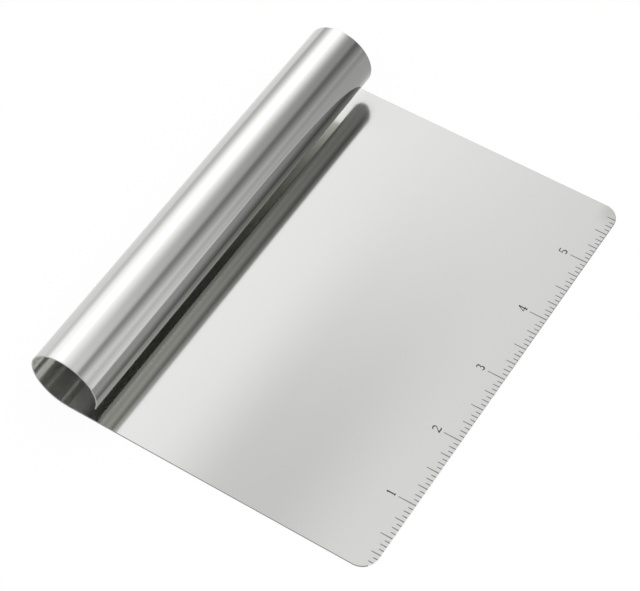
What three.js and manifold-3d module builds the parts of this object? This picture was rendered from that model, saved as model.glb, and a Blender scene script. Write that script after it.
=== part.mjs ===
// Dough scraper formed from one sheet of stainless steel: a flat blade with an
// inch scale etched along its cutting edge, and a handle rolled from the far side
// of the sheet into an open tube.
// Millimetres, +Z up. +X runs along the scale, +Y from the cutting edge to the handle.
// The origin is on the underside, at the middle of the footprint.
import * as THREE from 'three';
import { mergeGeometries, mergeVertices } from 'three/addons/utils/BufferGeometryUtils.js';
import Module from 'manifold-3d';

// Sheet
const SHEET_WIDTH = 150;
const SHEET_THICKNESS = 0.5;

// Blade: from the cutting edge to the line where the roll starts
const BLADE_LENGTH = 103.2;
const BLADE_CORNER_RADIUS = 5.5;

// Rolled handle: its underside runs on from the blade's, and its free edge stops
// above the blade's face
const ROLL_DIAMETER = 23.2;
const ROLL_GAP = 3.4;
const ROLL_CORNER_RADIUS = 5;

// Inch scale, etched into the upper face with its zero on the left side of the sheet
const INCH = 25.4;
const MARKS_PER_INCH = 16;
const MARK_WIDTH = 0.25;
const INCH_MARK_LENGTH = 5.8;
const HALF_MARK_LENGTH = 4;
const QUARTER_MARK_LENGTH = 3.1;
const EIGHTH_MARK_LENGTH = 2.2;
const SIXTEENTH_MARK_LENGTH = 1.6;
const SHORTEST_MARK = 0.5;
const EDGE_MARGIN = 0.2;
const ETCH_DEPTH = 0.1;

// Numerals over the whole inches
const NUMERAL_HEIGHT = 2.9;
const NUMERAL_STROKE = 0.5;
const NUMERAL_GAP = 1;

// Facets: steps on each arc of a shape
const ROLL_STEPS = 32;
const CORNER_STEPS = 6;
const STROKE_STEPS = 10;

// How far a cutter reaches past the face it cuts
const CUT_MARGIN = 1;

const halfWidth = SHEET_WIDTH / 2;
const rollRadius = ROLL_DIAMETER / 2;
const boreRadius = rollRadius - SHEET_THICKNESS;
const sheetRadius = (rollRadius + boreRadius) / 2;
const frontY = -(BLADE_LENGTH + rollRadius) / 2;
const rollY = frontY + BLADE_LENGTH;

const BOTTOM = -Math.PI / 2;
const freeEdgeAngle = BOTTOM + 2 * Math.PI - Math.acos((boreRadius - ROLL_GAP) / rollRadius);

const wasm = await Module();
wasm.setup();

const bladeSteel = new THREE.MeshStandardMaterial({ color: 0xcfcfcd, roughness: 0.25, metalness: 1 });
const rollSteel = new THREE.MeshStandardMaterial({ color: 0xd8d8d6, roughness: 0.08, metalness: 1 });

/** The closed solid of a geometry, with its shared corners merged. */
function solid(geometry) {
  const bare = geometry.clone();
  bare.deleteAttribute('normal');
  bare.deleteAttribute('uv');
  const merged = mergeVertices(bare, 1e-4);
  return new wasm.Manifold(
    new wasm.Mesh({
      numProp: 3,
      vertProperties: new Float32Array(merged.attributes.position.array),
      triVerts: new Uint32Array(merged.index.array),
    }),
  );
}

/** A named mesh of a solid. */
function meshOf(name, body, material) {
  const { vertProperties, triVerts } = body.getMesh();
  const geometry = new THREE.BufferGeometry();
  geometry.setAttribute('position', new THREE.BufferAttribute(vertProperties, 3));
  geometry.setIndex(new THREE.BufferAttribute(triVerts, 1));
  geometry.computeVertexNormals();
  const mesh = new THREE.Mesh(geometry, material);
  mesh.name = name;
  return mesh;
}

/** A shape extruded by depth, without a bevel. */
function extruded(shape, depth, curveSegments) {
  return new THREE.ExtrudeGeometry(shape, { depth, curveSegments, bevelEnabled: false });
}

/** The blade's outline: a rectangle whose two front corners are rounded. */
function bladeOutline() {
  const r = BLADE_CORNER_RADIUS;
  const outline = new THREE.Shape();
  outline.moveTo(-halfWidth, rollY);
  outline.lineTo(-halfWidth, frontY + r);
  outline.absarc(-halfWidth + r, frontY + r, r, Math.PI, 1.5 * Math.PI, false);
  outline.lineTo(halfWidth - r, frontY);
  outline.absarc(halfWidth - r, frontY + r, r, 1.5 * Math.PI, 2 * Math.PI, false);
  outline.lineTo(halfWidth, rollY);
  outline.closePath();
  return outline;
}

/** Height of the blade's outline above the cutting edge at x, which rises in the corners. */
function outlineRise(x) {
  const r = BLADE_CORNER_RADIUS;
  const into = Math.abs(x) - (halfWidth - r);
  return into > 0 ? r - Math.sqrt(Math.max(0, r * r - into * into)) : 0;
}

/** Length of the mark at a count of sixteenths. */
function markLength(sixteenths) {
  if (sixteenths % MARKS_PER_INCH === 0) return INCH_MARK_LENGTH;
  if (sixteenths % (MARKS_PER_INCH / 2) === 0) return HALF_MARK_LENGTH;
  if (sixteenths % (MARKS_PER_INCH / 4) === 0) return QUARTER_MARK_LENGTH;
  if (sixteenths % (MARKS_PER_INCH / 8) === 0) return EIGHTH_MARK_LENGTH;
  return SIXTEENTH_MARK_LENGTH;
}

/** Cutters for the marks of the scale: one box each, clear of the sheet's edge. */
function markCutters() {
  const boxes = [];
  const pitch = INCH / MARKS_PER_INCH;
  for (let k = 1; k * pitch < SHEET_WIDTH - MARK_WIDTH; k++) {
    const x = k * pitch - halfWidth;
    const start = outlineRise(Math.abs(x) + MARK_WIDTH / 2) + EDGE_MARGIN;
    const length = markLength(k) - start;
    if (length < SHORTEST_MARK) continue;
    const box = new THREE.BoxGeometry(MARK_WIDTH, length, ETCH_DEPTH + CUT_MARGIN);
    box.translate(x, frontY + start + length / 2, SHEET_THICKNESS + (CUT_MARGIN - ETCH_DEPTH) / 2);
    boxes.push(box);
  }
  return mergeGeometries(boxes);
}

/** Points along an arc, with its angles in degrees. */
function arc(x, y, radius, from, to) {
  const turn = THREE.MathUtils.degToRad;
  const curve = new THREE.EllipseCurve(x, y, radius, radius, turn(from), turn(to), to < from);
  return curve.getPoints(STROKE_STEPS);
}

/** A straight stroke's two points. */
function line(x0, y0, x1, y1) {
  return [new THREE.Vector2(x0, y0), new THREE.Vector2(x1, y1)];
}

/** Middle lines of each numeral's strokes, in a field one unit high and centred on x = 0. */
const NUMERALS = [
  [line(-0.19, 0.78, 0.02, 0.95), line(0, 0, 0, 1)],
  [[...arc(0, 0.68, 0.24, 170, -40), new THREE.Vector2(-0.24, 0.1)], line(-0.34, 0.09, 0.33, 0.09)],
  [arc(-0.01, 0.71, 0.2, 155, -90), arc(-0.01, 0.3, 0.22, 90, -155)],
  [line(0.1, 0.98, -0.3, 0.3), line(-0.36, 0.29, 0.34, 0.29), line(0.12, 0, 0.12, 1)],
  [line(0.28, 0.91, -0.2, 0.91), line(-0.16, 0.95, -0.22, 0.42), arc(-0.01, 0.32, 0.24, 140, -150)],
];

/** The outline of a stroke: its middle line, widened to both sides. */
function strokeShape(middle, width) {
  const left = [];
  const right = [];
  middle.forEach((point, i) => {
    const before = middle[Math.max(i - 1, 0)];
    const after = middle[Math.min(i + 1, middle.length - 1)];
    const along = after.clone().sub(before).normalize();
    const across = new THREE.Vector2(-along.y, along.x).multiplyScalar(width / 2);
    left.push(point.clone().add(across));
    right.unshift(point.clone().sub(across));
  });
  return new THREE.Shape([...left, ...right]);
}

/** Cutters for the numerals, which stand over the inch marks. */
function numeralCutters() {
  const baseline = frontY + INCH_MARK_LENGTH + NUMERAL_GAP;
  return NUMERALS.flatMap((strokes, i) => {
    const x = (i + 1) * INCH - halfWidth;
    return strokes.map((unit) => {
      const middle = unit.map((p) => new THREE.Vector2(x + p.x * NUMERAL_HEIGHT, baseline + p.y * NUMERAL_HEIGHT));
      const cutter = extruded(strokeShape(middle, NUMERAL_STROKE), ETCH_DEPTH + CUT_MARGIN, 1);
      return cutter.translate(0, 0, SHEET_THICKNESS - ETCH_DEPTH);
    });
  });
}

/** The flat blade with its etched scale. */
function blade() {
  let body = solid(extruded(bladeOutline(), SHEET_THICKNESS, CORNER_STEPS));
  body = body.subtract(solid(markCutters()));
  for (const cutter of numeralCutters()) {
    body = body.subtract(solid(cutter));
  }
  return meshOf('blade', body, bladeSteel);
}

/** The roll's section in the YZ plane, about the roll's axis: a ring of sheet, open at the front. */
function rollSection() {
  const section = new THREE.Shape();
  section.absarc(0, 0, rollRadius, BOTTOM, freeEdgeAngle, false);
  section.absarc(0, 0, boreRadius, freeEdgeAngle, BOTTOM, true);
  section.closePath();
  return section;
}

/**
 * The piece outside a rounded corner of the roll's free edge. It is drawn flat, with x
 * along the roll and y back from the free edge, and stands on the sheet halfway along
 * the corner.
 */
function rollCornerCutter(side) {
  const r = ROLL_CORNER_RADIUS;
  const outside = side * (halfWidth + CUT_MARGIN);
  const centre = side * (halfWidth - r);
  const corner = new THREE.Shape();
  corner.moveTo(centre, -CUT_MARGIN);
  corner.lineTo(centre, 0);
  corner.absarc(centre, r, r, BOTTOM, side > 0 ? 0 : -Math.PI, side < 0);
  corner.lineTo(outside, r);
  corner.lineTo(outside, -CUT_MARGIN);
  corner.closePath();

  const reach = SHEET_THICKNESS + CUT_MARGIN;
  const middle = freeEdgeAngle - r / 2 / sheetRadius;
  const outward = new THREE.Vector3(0, Math.cos(middle), Math.sin(middle));
  const back = new THREE.Vector3(0, Math.sin(middle), -Math.cos(middle));
  const along = new THREE.Vector3().crossVectors(back, outward);
  const stand = new THREE.Matrix4().makeBasis(along, back, outward);
  stand.setPosition(outward.clone().multiplyScalar(sheetRadius));

  const flat = extruded(corner, 2 * reach, CORNER_STEPS);
  flat.translate(0, -r / 2, -reach);
  return flat.applyMatrix4(stand);
}

/** The handle: the far side of the sheet, rolled up and forwards over the blade. */
function rolledHandle() {
  const lengthwise = new THREE.Matrix4().makeBasis(
    new THREE.Vector3(0, 1, 0),
    new THREE.Vector3(0, 0, 1),
    new THREE.Vector3(1, 0, 0),
  );
  const tube = extruded(rollSection(), SHEET_WIDTH, ROLL_STEPS);
  tube.translate(0, 0, -halfWidth).applyMatrix4(lengthwise);
  let body = solid(tube);
  for (const side of [-1, 1]) {
    body = body.subtract(solid(rollCornerCutter(side)));
  }
  const mesh = meshOf('rolled_handle', body, rollSteel);
  mesh.position.set(0, rollY, rollRadius);
  return mesh;
}

const scraper = new THREE.Group();
scraper.add(blade(), rolledHandle());

export default scraper;
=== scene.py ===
"""Dough scraper of one steel sheet: a flat blade with an etched inch scale and a rolled handle.

The sheet is drawn flat, as an outline with rounded edges, and the far side of it is then bent
round the handle's axis. Metres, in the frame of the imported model: +X runs along the scale, +Y
from the cutting edge to the handle and +Z up from the surface that the scraper lies on.
"""

import logging
import math
from dataclasses import dataclass, replace
from enum import Enum
from typing import Any, Optional, Union

import bpy
import numpy as np
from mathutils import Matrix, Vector


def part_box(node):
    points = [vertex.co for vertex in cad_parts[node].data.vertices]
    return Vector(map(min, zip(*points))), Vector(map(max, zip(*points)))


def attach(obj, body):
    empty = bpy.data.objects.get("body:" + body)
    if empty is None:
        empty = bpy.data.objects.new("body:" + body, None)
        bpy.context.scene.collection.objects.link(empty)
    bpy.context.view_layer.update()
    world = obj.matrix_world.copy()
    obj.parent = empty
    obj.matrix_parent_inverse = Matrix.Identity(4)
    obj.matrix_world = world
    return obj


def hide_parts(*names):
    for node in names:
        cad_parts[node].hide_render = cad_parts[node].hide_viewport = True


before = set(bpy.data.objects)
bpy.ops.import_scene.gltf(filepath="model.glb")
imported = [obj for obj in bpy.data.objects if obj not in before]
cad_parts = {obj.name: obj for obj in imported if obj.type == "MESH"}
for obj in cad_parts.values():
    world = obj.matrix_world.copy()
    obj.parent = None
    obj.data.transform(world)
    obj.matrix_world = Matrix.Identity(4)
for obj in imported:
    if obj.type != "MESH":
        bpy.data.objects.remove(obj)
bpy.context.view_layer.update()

LOG = logging.getLogger("dough_scraper")
MM = 0.001
MICRON = 0.001 * MM
INCH = 25.4 * MM
IMAGE_WIDTH = 640
SENSOR_WIDTH = 36.0
FULL_TURN = 360.0
LIGHT_BOUNCES = 24
SHEET_WARMTH = 0.022
WARM_RED_SHARE = 1 / 6

Number = Union[int, float]
Level = Union["Signal", Number]
Colour = tuple[float, float, float]


def grey(level: float, warmth: float = 0.0) -> Colour:
    """A grey of that level, with less blue and a little less red where it is warm."""
    return (level * (1 - warmth * WARM_RED_SHARE), level, level * (1 - warmth))


class Signal:
    """An output socket of a shader, with operators that add Math nodes."""

    def __init__(self, graph: "ShaderGraph", socket: bpy.types.NodeSocket) -> None:
        """Wraps one output socket of a graph."""
        self.graph = graph
        self.socket = socket

    def peer(self, name: str) -> "Signal":
        """Another output of the same node."""
        return Signal(self.graph, self.socket.node.outputs[name])

    def __add__(self, other: Level) -> "Signal":
        """Sum with a signal or a number."""
        return self.graph.math("ADD", self, other)

    __radd__ = __add__

    def __sub__(self, other: Level) -> "Signal":
        """Difference from a signal or a number."""
        return self.graph.math("SUBTRACT", self, other)

    def __rsub__(self, other: Number) -> "Signal":
        """A number less this signal."""
        return self.graph.math("SUBTRACT", other, self)

    def __mul__(self, other: Level) -> "Signal":
        """Product with a signal or a number."""
        return self.graph.math("MULTIPLY", self, other)

    __rmul__ = __mul__

    def __truediv__(self, other: Level) -> "Signal":
        """Quotient by a signal or a number."""
        return self.graph.math("DIVIDE", self, other)

    def __neg__(self) -> "Signal":
        """The signal with its sign turned."""
        return self.graph.math("MULTIPLY", self, -1.0)

    def limit(self, low: float, high: float) -> "Signal":
        """The signal, held between two numbers."""
        return self.graph.math("MINIMUM", self.graph.math("MAXIMUM", self, low), high)

    def rise(self, start: float, end: float) -> "Signal":
        """Smooth step of the signal: 0 at start, 1 at end."""
        return self.graph.node(
            "ShaderNodeMapRange",
            {"interpolation_type": "SMOOTHSTEP"},
            {"Value": self, "From Min": start, "From Max": end},
        )


class ShaderGraph:
    """The nodes of one material or world."""

    def __init__(self, tree: bpy.types.NodeTree) -> None:
        """Starts from an empty node tree."""
        self.tree = tree
        tree.nodes.clear()

    def node(
        self,
        kind: str,
        settings: Optional[dict[str, Any]] = None,
        inputs: Optional[dict[Union[str, int], Any]] = None,
        output: Union[str, int] = 0,
    ) -> Signal:
        """Adds a node.

        Args:
            kind: Blender's type of node.
            settings: The node's own settings, which are set first. "stops" are the (place, level)
                pairs of a ramp.
            inputs: Links or values of its sockets, by name or place.
            output: The output that is returned.

        Returns:
            The chosen output, or a bare node's own signal where it has none.
        """
        made = self.tree.nodes.new(kind)
        chosen = dict(settings or {})
        stops = chosen.pop("stops", None)
        for name, value in chosen.items():
            setattr(made, name, value)
        if stops is not None:
            self._set_stops(made.color_ramp, stops)
        for name, value in (inputs or {}).items():
            socket = made.inputs[name]
            if isinstance(value, Signal):
                self.tree.links.new(value.socket, socket)
            elif isinstance(value, tuple) and socket.type == "RGBA":
                socket.default_value = (*value, 1.0)
            else:
                socket.default_value = value
        return Signal(self, made.outputs[output]) if len(made.outputs) else Signal(self, made.inputs[0])

    @staticmethod
    def _set_stops(ramp: bpy.types.ColorRamp, stops: list[tuple[float, float]]) -> None:
        """Puts grey stops on a ramp, in order."""
        while len(ramp.elements) < len(stops):
            ramp.elements.new(1.0)
        for element, (place, level) in zip(ramp.elements, stops):
            element.position = place
            element.color = (level, level, level, 1.0)

    def math(self, operation: str, first: Level, second: Level = 0.0) -> Signal:
        """A Math node on signals or numbers."""
        return self.node("ShaderNodeMath", {"operation": operation}, {0: first, 1: second})

    def place(self) -> Signal:
        """The object's own coordinates."""
        return self.node("ShaderNodeTexCoord", output="Object")

    def stretched(self, scale: tuple[float, float, float]) -> Signal:
        """The object's own coordinates, scaled by three numbers."""
        return self.node(
            "ShaderNodeVectorMath",
            {"operation": "MULTIPLY"},
            {0: self.place(), 1: scale},
        )

    def noise(self, scale: tuple[float, float, float], detail: float, roughness: float = 0.5) -> Signal:
        """Noise from 0 to 1, with that many waves a metre on each axis."""
        return self.node(
            "ShaderNodeTexNoise",
            {"noise_dimensions": "3D"},
            {"Vector": self.stretched(scale), "Scale": 1.0, "Detail": detail, "Roughness": roughness},
            "Fac",
        )

    def blend(self, share: Level, first: Any, second: Any) -> Signal:
        """A colour between two others, through the colour sockets of a Mix node."""
        factor, colour_a, colour_b, result = 0, 6, 7, 2
        return self.node(
            "ShaderNodeMix",
            {"data_type": "RGBA"},
            {factor: share, colour_a: first, colour_b: second},
            result,
        )

    def surface(self, shader: Signal) -> None:
        """Links a shader to the output of a material or world."""
        world = any(n.bl_idname == "ShaderNodeBackground" for n in self.tree.nodes)
        self.node(
            "ShaderNodeOutputWorld" if world else "ShaderNodeOutputMaterial",
            None,
            {"Surface": shader},
        )


class Grain(Enum):
    """How the sheet was finished: the direction in which its fine lines run."""

    ALONG_EDGE = (40.0, 5200.0, 5200.0)
    ALONG_ROLL = (14.0, 2600.0, 2600.0)


@dataclass(frozen=True)
class Patch:
    """A soft area of the sheet with a colour and gloss of its own; some patches paint shade, and one paints
    light.

    Each of its fades is a pair of places in millimetres, across (x), along (y) or up (z): the
    patch is gone at the first one and whole at the second.
    """

    level: float
    roughness: float
    metallic: float = 1.0
    warmth: float = SHEET_WARMTH
    across: tuple[tuple[float, float], ...] = ()
    along: tuple[tuple[float, float], ...] = ()
    up: tuple[tuple[float, float], ...] = ()

    def share(self, graph: ShaderGraph) -> Signal:
        """Share of the patch in the finish: 1 in its middle and 0 away from it."""
        x = graph.node("ShaderNodeSeparateXYZ", None, {0: graph.place()}, "X")
        axes = ((x, self.across), (x.peer("Y"), self.along), (x.peer("Z"), self.up))
        fades = [axis.rise(gone * MM, whole * MM) for axis, pairs in axes for gone, whole in pairs]
        return math.prod(fades[1:], start=fades[0])


@dataclass(frozen=True)
class SteelFinish:
    """Bare stainless sheet: level of its colour, gloss, fine lines, smudges, specks and slight waves.

    Counts are in a metre. The tones are shares of the colour that each of these adds or takes.
    """

    name: str
    level: float
    warmth: float
    roughness: float
    grain: Grain
    grain_gloss: float
    grain_height: float
    smudge_gloss: float
    wave_height: float
    wave_count: tuple[float, float, float]
    metallic: float = 1.0
    patches: tuple[Patch, ...] = ()
    smudge_count: float = 26.0
    speck_count: float = 900.0
    speck_range: tuple[float, float] = (0.68, 0.8)
    speck_gloss: float = 0.06
    base_tone: float = 0.94
    grain_tone: float = 0.08
    smudge_tone: float = 0.04
    speck_tone: float = 0.05
    dark_level: float = 0.86
    dark_warmth: float = 1.4
    gloss_limits: tuple[float, float] = (0.02, 0.6)

    def material(self) -> bpy.types.Material:
        """Makes the steel.

        Fine lines and soft smudges move the roughness and the colour a little, the patches blend
        in over them, and a bump of fine lines on slow waves moves the normal.

        Returns:
            The material.
        """
        made = bpy.data.materials.new(self.name)
        made.use_nodes = True
        graph = ShaderGraph(made.node_tree)
        lines = graph.noise(self.grain.value, detail=3.0, roughness=0.6)
        smudge = graph.noise((self.smudge_count,) * 3, detail=3.0, roughness=0.55)
        wave = graph.noise(self.wave_count, detail=0.0)
        specks = graph.noise((self.speck_count,) * 3, detail=2.0).rise(*self.speck_range)

        tone = self.base_tone + lines * self.grain_tone + smudge * self.smudge_tone
        tone = (tone - specks * self.speck_tone).limit(0.0, 1.0)
        colour = graph.blend(
            tone,
            grey(self.level * self.dark_level, self.warmth * self.dark_warmth),
            grey(self.level, self.warmth),
        )
        gloss = self.roughness + (lines - 0.5) * self.grain_gloss + (smudge - 0.5) * self.smudge_gloss
        metallic: Level = self.metallic
        for patch in self.patches:
            share = patch.share(graph)
            colour = graph.blend(share, colour, grey(patch.level, patch.warmth))
            if patch.roughness != self.roughness:
                gloss = gloss + share * (patch.roughness - self.roughness)
            if patch.metallic != self.metallic:
                metallic = share * (patch.metallic - self.metallic) + metallic
        waves = graph.node(
            "ShaderNodeBump",
            None,
            {"Strength": 1.0, "Distance": self.wave_height, "Height": wave},
        )
        normal = graph.node(
            "ShaderNodeBump",
            None,
            {"Strength": 1.0, "Distance": self.grain_height, "Height": lines, "Normal": waves},
        )
        steel = graph.node(
            "ShaderNodeBsdfPrincipled",
            None,
            {
                "Base Color": colour,
                "Metallic": metallic,
                "Roughness": (gloss + specks * self.speck_gloss).limit(*self.gloss_limits),
                "Normal": normal,
            },
        )
        graph.surface(steel)
        return made


@dataclass(frozen=True)
class EtchFinish:
    """Dark matt etching: its level, and how unevenly it took."""

    name: str
    level: float
    uneven: float = 0.25
    roughness: float = 0.6
    specular: float = 0.25
    mottle_count: float = 1400.0
    mottle_gloss: float = 0.2

    def material(self) -> bpy.types.Material:
        """Makes the etching, mottled where it took less.

        Returns:
            The material.
        """
        made = bpy.data.materials.new(self.name)
        made.use_nodes = True
        graph = ShaderGraph(made.node_tree)
        mottle = graph.noise((self.mottle_count,) * 3, detail=2.0)
        colour = graph.blend(
            mottle,
            grey(self.level * (1 - self.uneven)),
            grey(self.level * (1 + self.uneven)),
        )
        etched = graph.node(
            "ShaderNodeBsdfPrincipled",
            None,
            {
                "Base Color": colour,
                "Metallic": 0.0,
                "Roughness": self.roughness + (mottle - 0.5) * self.mottle_gloss,
                "Specular IOR Level": self.specular,
            },
        )
        graph.surface(etched)
        return made


BORE_LEVEL = 0.7
BORE_ROUGHNESS = 0.32
BORE_METALLIC = 0.925
BORE_WARMTH = 0.045

# Patches of the blade, from its middle to its back, and of its cutting edge; several of them are painted
# shade
# Painted shade: the blade darker, and rougher, over its middle, strongest towards the left
SHADED_DULL_MIDDLE = Patch(
    level=0.37,
    roughness=0.18,
    across=((75.0, -75.0),),
    along=((-54.0, -19.4), (16.6, -9.4)),
)
WARM_BACK = Patch(
    level=0.47,
    roughness=0.09,
    warmth=0.07,
    across=((72.0, 50.0),),
    along=((27.5, 30.5),),
)
# Painted shade: a darker, warmer band of the blade under and just in front of the roll
SHADED_BACK_BAND = Patch(
    level=0.395,
    roughness=0.09,
    warmth=0.07,
    across=((-60.0, 40.0), (80.0, 50.0)),
    along=((27.5, 30.5),),
)
# Painted shade: the blade darker in its right front corner
SHADED_FAR_CORNER = Patch(
    level=0.39,
    roughness=0.09,
    across=((66.0, 74.0),),
    along=((-49.5, -54.5),),
)
HAZY_BACK = Patch(
    level=0.47,
    roughness=0.17,
    across=((58.0, 70.0),),
    along=((14.0, 24.0),),
)
# Painted shade: the ground cutting edge darker towards its right end
SHADED_EDGE_END = Patch(
    level=0.36,
    roughness=0.4,
    metallic=0.4,
    across=((-80.0, 60.0),),
)
UNDER_ROLL = Patch(
    level=BORE_LEVEL,
    roughness=BORE_ROUGHNESS,
    metallic=BORE_METALLIC,
    along=((34.0, 45.8),),
)

# Patches of the roll: painted shade on its front, and the two ends of its bore, with painted light at the
# far one
# Painted shade: a darker, warmer band along the front of the roll at mid height, fading out towards the
# left
SHADED_ROLL_FRONT = Patch(
    level=0.5,
    roughness=0.08,
    warmth=0.06,
    across=((-90.0, 20.0),),
    along=((42.0, 38.0),),
    up=((9.5, 11.5), (15.0, 12.5)),
)
GLOSSY_END = Patch(
    level=0.74,
    warmth=BORE_WARMTH,
    roughness=0.14,
    metallic=0.92,
    across=((-38.0, -52.0),),
)
# Painted light: the bore far paler towards its far open end
LIT_FAR_END = Patch(
    level=0.97,
    warmth=BORE_WARMTH,
    roughness=BORE_ROUGHNESS,
    metallic=BORE_METALLIC,
    across=((61.0, 75.0),),
)

# Finishes of the blade's faces, the roll's two sides and the edges
SATIN_STEEL = SteelFinish(
    name="satin_sheet",
    level=0.47,
    warmth=SHEET_WARMTH,
    roughness=0.09,
    grain=Grain.ALONG_EDGE,
    grain_gloss=0.04,
    grain_height=0.15 * MICRON,
    smudge_gloss=0.03,
    wave_height=0.15 * MM,
    wave_count=(14.0, 20.0, 14.0),
    patches=(SHADED_DULL_MIDDLE, HAZY_BACK, WARM_BACK, SHADED_BACK_BAND, SHADED_FAR_CORNER, UNDER_ROLL),
)
POLISHED_STEEL = SteelFinish(
    name="polished_sheet",
    level=0.603,
    warmth=0.028,
    roughness=0.08,
    grain=Grain.ALONG_ROLL,
    grain_gloss=0.03,
    grain_height=0.2 * MICRON,
    smudge_gloss=0.03,
    wave_height=0.02 * MM,
    wave_count=(12.0, 60.0, 60.0),
    patches=(SHADED_ROLL_FRONT,),
)
BORE_STEEL = replace(
    POLISHED_STEEL,
    name="bore_sheet",
    level=BORE_LEVEL,
    warmth=BORE_WARMTH,
    roughness=BORE_ROUGHNESS,
    grain_height=0.15 * MICRON,
    smudge_gloss=0.02,
    metallic=BORE_METALLIC,
    patches=(GLOSSY_END, LIT_FAR_END),
)
# The cut sides are dull, and their dark level is painted shade
SHADED_CUT_STEEL = SteelFinish(
    name="shaded_cut_edge",
    level=0.25,
    warmth=SHEET_WARMTH,
    roughness=0.3,
    grain=Grain.ALONG_EDGE,
    grain_gloss=0.08,
    grain_height=0.6 * MICRON,
    smudge_gloss=0.04,
    wave_height=0.02 * MM,
    wave_count=(60.0, 60.0, 60.0),
)
# The roll's rims: dull, with a darker level that is painted shade
SHADED_RIM_STEEL = replace(SHADED_CUT_STEEL, name="shaded_roll_rim", level=0.45)
GROUND_STEEL = replace(
    SHADED_CUT_STEEL,
    name="ground_edge",
    level=0.85,
    roughness=0.4,
    metallic=0.4,
    patches=(SHADED_EDGE_END,),
)
DARK_ETCH = EtchFinish(name="dark_etch", level=0.09)
PALE_ETCH = EtchFinish(name="pale_etch", level=0.17)


def piece_from(
    name: str,
    points: np.ndarray,
    faces: np.ndarray,
    normals: Optional[np.ndarray] = None,
) -> bpy.types.Object:
    """Makes an object that stands at the origin and rides on the part's one body.

    Args:
        name: The piece's name.
        points: Places of its vertices, n by 3.
        faces: Its faces of four corners each, m by 4.
        normals: Normals of its vertices, where it is smooth.

    Returns:
        The new object.
    """
    mesh = bpy.data.meshes.new(name)
    mesh.from_pydata(points.tolist(), [], faces.tolist())
    mesh.validate()
    if normals is not None:
        mesh.polygons.foreach_set("use_smooth", np.ones(len(mesh.polygons), bool))
        mesh.normals_split_custom_set_from_vertices(normals.tolist())
    mesh.update()
    made = bpy.data.objects.new(name, mesh)
    bpy.context.scene.collection.objects.link(made)
    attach(made, "root")
    return made


@dataclass
class SheetPiece:
    """A length of the sheet, drawn flat with rounded edges and then bent.

    Rows run along the sheet. Each row crosses it from the left edge to the right one, and each
    edge is a profile from the lower face to the upper one.
    """

    thickness: float
    half_width: float
    edge_rounding: float = 0.12 * MM
    edge_steps: int = 3

    def edge_profile(self) -> tuple[np.ndarray, np.ndarray, np.ndarray, np.ndarray]:
        """Profile of the sheet's edge: a quarter round, a flat and a quarter round.

        A point at angle t of a quarter stands r (1 - cos t) in from the outline, and its height
        runs by r (1 - sin t) from its face, so that the profile leaves both faces smoothly.

        Returns:
            Distance in from the outline, height over the lower face, and the share of the normal
            that points out of the outline and up.
        """
        turn = np.linspace(-np.pi / 2, 0, self.edge_steps + 1)
        turn = np.concatenate([turn, -turn[::-1]])
        r = self.edge_rounding
        inset = r * (1 - np.cos(turn))
        lower = np.arange(len(turn)) <= self.edge_steps
        height = np.where(lower, r, self.thickness - r) + r * np.sin(turn)
        return inset, height, np.cos(turn), np.sin(turn)

    def edge_faces(self) -> int:
        """Number of faces across one edge of the sheet."""
        return 2 * self.edge_steps + 1

    def outline(self) -> tuple[np.ndarray, np.ndarray, np.ndarray, np.ndarray]:
        """Right-hand outline of the flat sheet: places across and along, and its normals."""
        raise NotImplementedError

    def bend(self, along: np.ndarray, height: np.ndarray) -> tuple[np.ndarray, np.ndarray, np.ndarray]:
        """Where a point of the flat sheet goes: its y, its z and the sheet's turn there."""
        raise NotImplementedError

    def solid(self) -> tuple[np.ndarray, np.ndarray, np.ndarray]:
        """The closed sheet, as a grid of rows by sides by profile points.

        Each point of the outline moves in along its normal by the profile's inset, gets the
        profile's height, and is bent. Its normal is the outline's normal and the face's, mixed
        as the profile says and turned with the sheet.

        Returns:
            Points, faces of four corners, and normals.
        """
        across, along, out_across, out_along = (v[:, None, None] for v in self.outline())
        inset, height, out, up = (v[None, None, :] for v in self.edge_profile())
        side = np.array([-1.0, 1.0])[None, :, None]
        x = side * (across - out_across * inset)
        y, z, turn = self.bend(along - out_along * inset + 0 * x, height + 0 * x)
        points = np.stack([x, y, z], axis=-1)
        normals = np.stack(
            [
                side * out_across * out + 0 * x,
                out_along * out * np.cos(turn) - up * np.sin(turn),
                out_along * out * np.sin(turn) + up * np.cos(turn),
            ],
            axis=-1,
        )
        index = np.arange(x.size).reshape(x.shape)
        return points.reshape(-1, 3), self._faces(index), normals.reshape(-1, 3)

    @staticmethod
    def _faces(index: np.ndarray) -> np.ndarray:
        """Faces of the grid: its two edges, its two faces and its two ends, all facing out.

        Args:
            index: Numbers of the vertices, rows by sides by profile points.

        Returns:
            Corners of the faces. The lower faces come first and the upper ones second.
        """
        left, right = index[:, 0], index[:, 1]

        def quads(a: np.ndarray, b: np.ndarray, c: np.ndarray, d: np.ndarray) -> np.ndarray:
            """Four arrays of corners, as rows of faces."""
            return np.stack([a, b, c, d], axis=-1).reshape(-1, 4)

        lower = quads(left[:-1, 0], left[1:, 0], right[1:, 0], right[:-1, 0])
        upper = quads(left[:-1, -1], right[:-1, -1], right[1:, -1], left[1:, -1])
        right_edge = quads(right[:-1, :-1], right[1:, :-1], right[1:, 1:], right[:-1, 1:])
        left_edge = quads(left[:-1, :-1], left[:-1, 1:], left[1:, 1:], left[1:, :-1])
        first = quads(left[0, :-1], right[0, :-1], right[0, 1:], left[0, 1:])
        last = quads(left[-1, :-1], left[-1, 1:], right[-1, 1:], right[-1, :-1])
        return np.concatenate([lower, upper, right_edge, left_edge, first, last])


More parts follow.
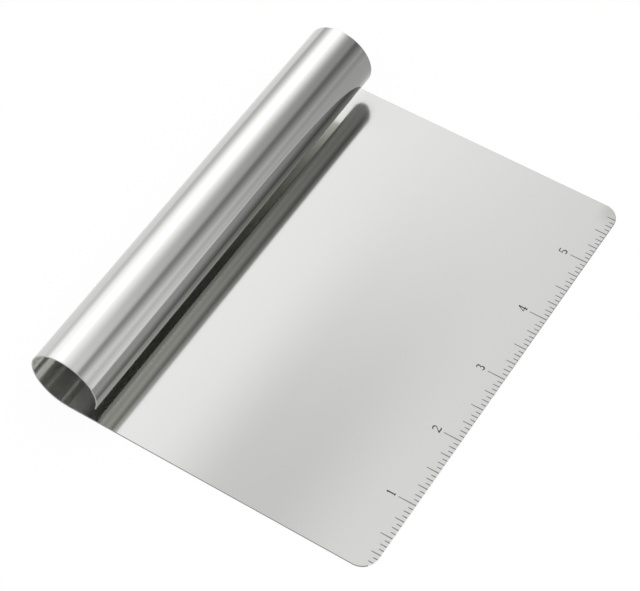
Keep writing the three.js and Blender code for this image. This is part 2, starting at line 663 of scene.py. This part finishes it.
@dataclass
class Blade(SheetPiece):
    """The flat of the sheet, from the cutting edge to the line where the roll starts."""

    front: float = 0.0
    back: float = 0.0
    corner_radius: float = 5.5 * MM
    corner_steps: int = 24
    cut_reach: float = 0.7

    def outline(self) -> tuple[np.ndarray, np.ndarray, np.ndarray, np.ndarray]:
        """A quarter round from the cutting edge, then straight to the roll.

        Returns:
            Places across and along the sheet, and the two parts of the outline's normal.
        """
        turn = np.linspace(0, np.pi / 2, self.corner_steps + 1)
        r = self.corner_radius
        across = np.append(self.half_width - r + r * np.sin(turn), self.half_width)
        along = np.append(self.front + r - r * np.cos(turn), self.back)
        return across, along, np.append(np.sin(turn), 1.0), np.append(-np.cos(turn), 0.0)

    def bend(self, along: np.ndarray, height: np.ndarray) -> tuple[np.ndarray, np.ndarray, np.ndarray]:
        """The blade stays flat."""
        return along, height, np.zeros_like(along)

    def build(self) -> bpy.types.Object:
        """Builds the blade: satin on its faces, dull and darkened by painted shade on its cut sides, and
        pale on its ground front, which painted shade darkens towards its right end.

        The sides reach into the corners, as far as the outline still faces sideways.

        Returns:
            The blade, which stands for the CAD node.
        """
        points, faces, normals = self.solid()
        made = piece_from("blade_sheet", points, faces, normals)
        for finish in (SATIN_STEEL, SHADED_CUT_STEEL, GROUND_STEEL):
            made.data.materials.append(finish.material())
        satin, cut, ground = range(3)
        facing_side = self.outline()[2][1:]
        rows, steps = len(facing_side), self.edge_faces()
        side = np.where(facing_side > self.cut_reach, cut, ground)
        slots = np.full(len(faces), ground, np.int32)
        slots[:2 * rows] = satin
        slots[2 * rows:(2 + 2 * steps) * rows] = np.tile(np.repeat(side, steps), 2)
        made.data.polygons.foreach_set("material_index", slots)
        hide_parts("blade")
        return made


@dataclass
class RolledHandle(SheetPiece):
    """The far side of the sheet, rolled up and forwards over the blade into an open tube."""

    axis_y: float = 0.0
    radius: float = 0.0
    gap: float = 3.4 * MM
    corner_radius: float = 5.0 * MM
    corner_steps: int = 20
    roll_steps: int = 220

    def sheet_radius(self) -> float:
        """Radius of the sheet's middle layer, along which lengths stay true."""
        return self.radius - self.thickness / 2

    def sheet_length(self) -> float:
        """Length of sheet in the roll: it stops where its outer edge stands the gap over the blade."""
        open_angle = math.acos((self.radius - self.thickness - self.gap) / self.radius)
        return (2 * math.pi - open_angle) * self.sheet_radius()

    def outline(self) -> tuple[np.ndarray, np.ndarray, np.ndarray, np.ndarray]:
        """Straight from the blade, then a quarter round to the free edge.

        Returns:
            Places across and along the sheet, and the two parts of the outline's normal.
        """
        turn = np.linspace(0, np.pi / 2, self.corner_steps + 1)
        r = self.corner_radius
        length = self.sheet_length()
        straight = np.linspace(0, length - r, self.roll_steps, endpoint=False)
        ones = np.ones_like(straight)
        across = np.concatenate([self.half_width * ones, self.half_width - r + r * np.cos(turn)])
        along = np.concatenate([straight, length - r + r * np.sin(turn)])
        return across, along, np.concatenate([ones, np.cos(turn)]), np.concatenate([0 * ones, np.sin(turn)])

    def bend(self, along: np.ndarray, height: np.ndarray) -> tuple[np.ndarray, np.ndarray, np.ndarray]:
        """Winds the sheet round the axis, starting straight below it.

        A point turns by its length over the middle layer's radius, and lies its height in from the
        outer radius.

        Args:
            along: Length from the start of the roll.
            height: Height over the sheet's outer face.

        Returns:
            The points' y and z, and the sheet's turn.
        """
        turn = along / self.sheet_radius()
        reach = self.radius - height
        return self.axis_y + reach * np.sin(turn), self.radius - reach * np.cos(turn), turn

    def build(self) -> bpy.types.Object:
        """Builds the roll: polished outside, duller in its bore with painted light at its far end, and dull
        and darkened by painted shade on the rims of its ends.

        Returns:
            The roll, which stands for the CAD node.
        """
        points, faces, normals = self.solid()
        made = piece_from("handle_roll", points, faces, normals)
        for finish in (POLISHED_STEEL, BORE_STEEL, SHADED_RIM_STEEL):
            made.data.materials.append(finish.material())
        polished, bore, rim = range(3)
        rows, steps = len(self.outline()[0]) - 1, self.edge_faces()
        slots = np.full(len(faces), polished, np.int32)
        slots[rows:2 * rows] = bore
        slots[2 * rows:(2 + 2 * steps) * rows] = rim
        made.data.polygons.foreach_set("material_index", slots)
        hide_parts("rolled_handle")
        return made


class MarkLength(Enum):
    """Lengths of the scale's marks, by the number of sixteenths that they stand for."""

    INCH = (16, 5.8 * MM)
    HALF = (8, 4.0 * MM)
    QUARTER = (4, 3.1 * MM)
    EIGHTH = (2, 2.2 * MM)
    SIXTEENTH = (1, 1.6 * MM)


MARKS_PER_INCH = MarkLength.INCH.value[0]
ARC_POINTS = 15
THIN_STROKE = 0.6
ARC_SWELL = 0.6


def arc(x: float, y: float, radius: float, start: float, end: float) -> np.ndarray:
    """Points of an arc and its width at each, which swells in the middle. Angles are in degrees."""
    share = np.linspace(0, 1, ARC_POINTS)
    turn = np.radians(start + (end - start) * share)
    width = THIN_STROKE + ARC_SWELL * np.sin(np.pi * share) ** 2
    return np.stack([x + radius * np.cos(turn), y + radius * np.sin(turn), width], axis=-1)


def line(x0: float, y0: float, x1: float, y1: float, width: float) -> np.ndarray:
    """Points of a straight stroke, and its width at each."""
    return np.array([[x0, y0, width], [x1, y1, width]])


# Strokes of the numerals 1 to 5, in a field one unit high and centred on x = 0
NUMERALS = (
    (
        line(-0.15, 0.83, 0, 0.93, THIN_STROKE),
        line(0, 0, 0, 0.98, 1.1),
        line(-0.15, 0.04, 0.15, 0.04, 0.5),
    ),
    (
        np.concatenate([arc(0, 0.7, 0.22, 170, -40), [[-0.23, 0.12, 0.7]]]),
        line(-0.29, 0.08, 0.27, 0.08, 1.1),
        line(0.27, 0.04, 0.3, 0.22, 0.5),
    ),
    (
        arc(-0.01, 0.72, 0.19, 155, -90),
        arc(-0.01, 0.29, 0.22, 90, -155),
    ),
    (
        line(0.1, 0.98, -0.28, 0.3, THIN_STROKE),
        line(-0.33, 0.28, 0.3, 0.28, THIN_STROKE),
        line(0.1, 0, 0.1, 1, 1.1),
        line(-0.04, 0.03, 0.24, 0.03, 0.5),
    ),
    (
        line(-0.16, 0.92, 0.26, 0.92, 0.9),
        line(-0.15, 0.94, -0.2, 0.46, THIN_STROKE),
        arc(-0.01, 0.31, 0.23, 130, -150),
    ),
)


@dataclass
class EtchedScale:
    """The inch scale: marks along the cutting edge, and numerals over the whole inches."""

    front: float
    half_width: float
    corner_radius: float
    face: float
    mark_width: float = 0.3 * MM
    mark_taper: tuple[float, float] = (1.2, 0.8)
    edge_margin: float = 0.03 * MM
    shortest: float = 0.5 * MM
    numeral_height: float = 2.9 * MM
    numeral_stroke: float = 0.42 * MM
    numeral_gap: float = 1.0 * MM
    depth: float = 0.1 * MM
    stand: float = 0.006 * MM

    def stroke_slab(self, middle: np.ndarray, width: np.ndarray) -> tuple[np.ndarray, np.ndarray]:
        """A stroke of etching: its middle line, widened to both sides and given its depth.

        Each point of the middle line goes half the width to the left and to the right, across the
        direction between its neighbours, at the etching's floor and at its face.

        Args:
            middle: Points of the middle line, n by 2.
            width: Width of the stroke at each of them.

        Returns:
            Points, and faces of four corners.
        """
        way = np.gradient(middle, axis=0)
        way = way / np.linalg.norm(way, axis=1, keepdims=True)
        across = np.stack([-way[:, 1], way[:, 0]], axis=-1) * width[:, None] / 2
        corners = np.stack([middle + across, middle - across, middle - across, middle + across], axis=1)
        height = np.array([self.face - self.depth] * 2 + [self.face + self.stand] * 2)
        rise = np.broadcast_to(height[None, :, None], (*corners.shape[:2], 1))
        points = np.concatenate([corners, rise], axis=-1).reshape(-1, 3)
        index = np.arange(len(points)).reshape(-1, 4)
        here, after = index[:-1], index[1:]
        sides = np.stack([here, after, np.roll(after, -1, 1), np.roll(here, -1, 1)], axis=-1)
        ends = np.stack([index[0], index[-1, ::-1]])
        return points, np.concatenate([sides.reshape(-1, 4), ends])

    def outline_rise(self, x: np.ndarray) -> np.ndarray:
        """How far the blade's outline stands back from the cutting edge, which it does in the corners."""
        into = np.clip(np.abs(x) - (self.half_width - self.corner_radius), 0, self.corner_radius)
        return self.corner_radius - np.sqrt(self.corner_radius ** 2 - into ** 2)

    def marks(self) -> list[tuple[np.ndarray, np.ndarray]]:
        """Slabs of the marks, one at each sixteenth of an inch from the left side of the sheet.

        A mark starts a margin in from the outline, ends its own length over the cutting edge and
        narrows towards its end.

        Returns:
            Points and faces of each mark.
        """
        pitch = INCH / MARKS_PER_INCH
        count = np.arange(1, int(2 * self.half_width / pitch) + 1)
        x = count * pitch - self.half_width
        length = np.zeros(len(count))
        for mark in reversed(MarkLength):
            length[count % mark.value[0] == 0] = mark.value[1]
        widths = self.mark_width * np.array(self.mark_taper)
        start = self.outline_rise(np.abs(x) + self.mark_width / 2) + self.edge_margin
        kept = (length - start >= self.shortest) & (x + self.mark_width / 2 < self.half_width)
        return [
            self.stroke_slab(np.array([[at, self.front + low], [at, self.front + high]]), widths)
            for at, low, high in zip(x[kept], start[kept], length[kept])
        ]

    def numerals(self) -> list[tuple[np.ndarray, np.ndarray]]:
        """Slabs of the numerals' strokes, which stand over the inch marks."""
        baseline = self.front + MarkLength.INCH.value[1] + self.numeral_gap
        feet = [np.array([(i + 1) * INCH - self.half_width, baseline]) for i in range(len(NUMERALS))]
        return [
            self.stroke_slab(foot + stroke[:, :2] * self.numeral_height, stroke[:, 2] * self.numeral_stroke)
            for foot, strokes in zip(feet, NUMERALS)
            for stroke in strokes
        ]

    def build(self) -> bpy.types.Object:
        """Builds the marks and numerals as one piece. The broader numerals took the etching darker.

        Returns:
            The scale.
        """
        marks = self.marks()
        slabs = marks + self.numerals()
        starts = np.cumsum([0] + [len(points) for points, _ in slabs[:-1]])
        points = np.concatenate([points for points, _ in slabs])
        faces = np.concatenate([faces + start for (_, faces), start in zip(slabs, starts)])
        made = piece_from("etched_scale", points, faces)
        for finish in (PALE_ETCH, DARK_ETCH):
            made.data.materials.append(finish.material())
        pale, dark = range(2)
        slots = np.full(len(faces), dark, np.int32)
        slots[:sum(len(mark) for _, mark in marks)] = pale
        made.data.polygons.foreach_set("material_index", slots)
        return made


@dataclass
class Studio:
    """A plain pale floor, and soft light from a broad box over the back of the handle.

    The walls are given about the handle's axis: degrees from straight overhead, positive to the
    front, and the level of light from there. The other turns are in the same degrees.
    """

    floor_reach: float = 4.0
    floor_points: int = 5
    floor_drop: float = 0.1 * MM
    floor_level: float = 0.98
    floor_fall: float = 0.49
    floor_white: float = 0.94
    shade_lean: float = 0.5
    shade_across: tuple[float, float] = (-60.0 * MM, 110.0 * MM)
    shade_along: tuple[float, float] = (10.0 * MM, 50.0 * MM)
    middle_slope: float = 0.498
    slope_fall: float = 5.4
    fall_limit: float = 0.6
    low_fall_limit: float = 0.26
    low_turn: tuple[float, float] = (56.0, 66.0)
    front_turn: tuple[float, float] = (-20.0, 22.0)
    back_turn: tuple[float, float] = (-50.0, -65.0)
    back_share: float = 0.4
    wall_top: float = 2.0
    walls: tuple[tuple[float, float], ...] = (
        (-180, 0.97),
        (-98, 0.97),
        (-90, 0.85),
        (-84, 0.76),
        (-79, 0.73),
        (-73, 0.85),
        (-60, 1.32),
        (-50, 1.61),
        (-40, 1.74),
        (-23, 1.74),
        (-22.4, 1.65),
        (-21, 1.56),
        (-20, 1.53),
        (-8, 1.14),
        (2, 0.81),
        (10, 0.63),
        (16, 0.59),
        (27, 0.56),
        (30, 0.5),
        (36, 0.28),
        (40, 0.25),
        (45, 0.3),
        (58, 0.55),
        (65, 0.7),
        (68, 0.69),
        (74, 0.58),
        (79, 0.59),
        (87, 0.69),
        (180, 0.69),
    )

    def floor(self) -> bpy.types.Object:
        """Lays the floor, a flat grid under the sheet. The camera sees most of it as plain white.

        Returns:
            The floor.
        """
        reach = np.linspace(-self.floor_reach, self.floor_reach, self.floor_points)
        x, y = np.meshgrid(reach, reach, indexing="ij")
        points = np.stack([x, y, np.full_like(x, -self.floor_drop)], axis=-1).reshape(-1, 3)
        index = np.arange(x.size).reshape(x.shape)
        faces = np.stack([index[:-1, :-1], index[1:, :-1], index[1:, 1:], index[:-1, 1:]], axis=-1)
        mesh = bpy.data.meshes.new("floor")
        mesh.from_pydata(points.tolist(), [], faces.reshape(-1, 4).tolist())
        made = bpy.data.objects.new("floor", mesh)
        bpy.context.scene.collection.objects.link(made)

        material = bpy.data.materials.new("pale_floor")
        material.use_nodes = True
        graph = ShaderGraph(material.node_tree)
        seen = graph.node("ShaderNodeLightPath", output="Is Camera Ray")
        across = graph.node("ShaderNodeSeparateXYZ", None, {0: graph.place()}, "X")
        along = across.peer("Y")
        shade = (across + along * self.shade_lean).rise(*self.shade_across)
        shade = shade * (1 - along.rise(*self.shade_along))
        level = self.floor_level - shade * self.floor_fall
        level = level + seen * (1 - level)
        card = graph.node(
            "ShaderNodeBsdfPrincipled",
            None,
            {"Base Color": level, "Roughness": 1.0, "Specular IOR Level": 0.0},
        )
        white = graph.node("ShaderNodeEmission", None, {"Color": grey(1.0), "Strength": 1.0})
        graph.surface(
            graph.node("ShaderNodeMixShader", None, {0: seen * self.floor_white, 1: card, 2: white})
        )
        mesh.materials.append(material)
        return made

    def light(self) -> None:
        """Lights the scene from all round: plain white, and for gloss the walls of the studio.

        The turn about the handle's axis picks the wall's level. Along the handle, the level of the
        front walls, and less so of the back ones, falls by the power of a slope.
        """
        world = bpy.data.worlds.new("studio")
        bpy.context.scene.world = world
        world.use_nodes = True
        graph = ShaderGraph(world.node_tree)
        way = graph.node("ShaderNodeTexCoord", output="Generated")
        slope = graph.node("ShaderNodeSeparateXYZ", None, {0: way}, "X")
        turn = graph.math("ARCTAN2", -slope.peer("Y"), slope.peer("Z")) * math.degrees(1)
        stops = [(angle / FULL_TURN + 0.5, level / self.wall_top) for angle, level in self.walls]
        walls = graph.node("ShaderNodeValToRGB", {"stops": stops}, {0: turn / FULL_TURN + 0.5}, "Color")
        share = turn.rise(*self.front_turn) + self.back_share * turn.rise(*self.back_turn)
        fall = (self.slope_fall * (self.middle_slope - slope)).limit(-self.fall_limit, self.fall_limit)
        low = turn.rise(*self.low_turn) * (self.fall_limit - self.low_fall_limit)
        fall = graph.math("MINIMUM", fall, self.fall_limit - low)
        level = self.wall_top * walls * graph.math("EXPONENT", fall * share)
        gloss = graph.node("ShaderNodeLightPath", output="Is Glossy Ray")
        seen = 1 + gloss * (level - 1)
        graph.surface(graph.node("ShaderNodeBackground", None, {"Color": grey(1.0), "Strength": seen}))


@dataclass
class PhotoCamera:
    """The photograph's viewpoint: its bearing, height and distance from a point of the blade."""

    azimuth: float = -57.647
    elevation: float = 54.065
    distance: float = 672.6 * MM
    target: tuple[float, float, float] = (-2.053 * MM, 4.855 * MM, 0.5 * MM)
    focal_pixels: float = 2226.27
    clip: tuple[float, float] = (0.01, 20.0)

    def build(self) -> bpy.types.Object:
        """Makes the camera and hands it to the scene.

        Returns:
            The camera.
        """
        data = bpy.data.cameras.new("camera")
        data.sensor_fit = "HORIZONTAL"
        data.sensor_width = SENSOR_WIDTH
        data.lens = self.focal_pixels * SENSOR_WIDTH / IMAGE_WIDTH
        data.clip_start, data.clip_end = self.clip
        made = bpy.data.objects.new("camera", data)
        bpy.context.scene.collection.objects.link(made)
        a, e = math.radians(self.azimuth), math.radians(self.elevation)
        back = Vector((math.sin(a) * math.cos(e), -math.cos(a) * math.cos(e), math.sin(e)))
        made.location = Vector(self.target) + back * self.distance
        made.rotation_euler = (-back).to_track_quat("-Z", "Y").to_euler()
        bpy.context.scene.camera = made
        return made


def main() -> None:
    """Builds the camera, the studio and the pieces."""
    logging.basicConfig(level=logging.INFO, format="%(name)s: %(message)s")
    scene = bpy.context.scene
    scene.view_settings.view_transform = "Standard"
    scene.cycles.max_bounces = LIGHT_BOUNCES
    scene.cycles.glossy_bounces = LIGHT_BOUNCES

    PhotoCamera().build()
    studio = Studio()
    studio.floor()
    studio.light()

    blade_low, blade_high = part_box("blade")
    roll_low, roll_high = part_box("rolled_handle")
    thickness = blade_high.z - blade_low.z
    blade = Blade(thickness=thickness, half_width=blade_high.x, front=blade_low.y, back=blade_high.y)
    handle = RolledHandle(
        thickness=thickness,
        half_width=roll_high.x,
        axis_y=blade_high.y,
        radius=min(roll_high.z / 2, roll_high.y - blade_high.y),
    )
    scale = EtchedScale(
        front=blade.front,
        half_width=blade.half_width,
        corner_radius=blade.corner_radius,
        face=thickness,
    )
    for builder in (blade, handle, scale):
        piece = builder.build()
        LOG.info("%s: %d faces", piece.name, len(piece.data.polygons))


if __name__ == "__main__":
    main()
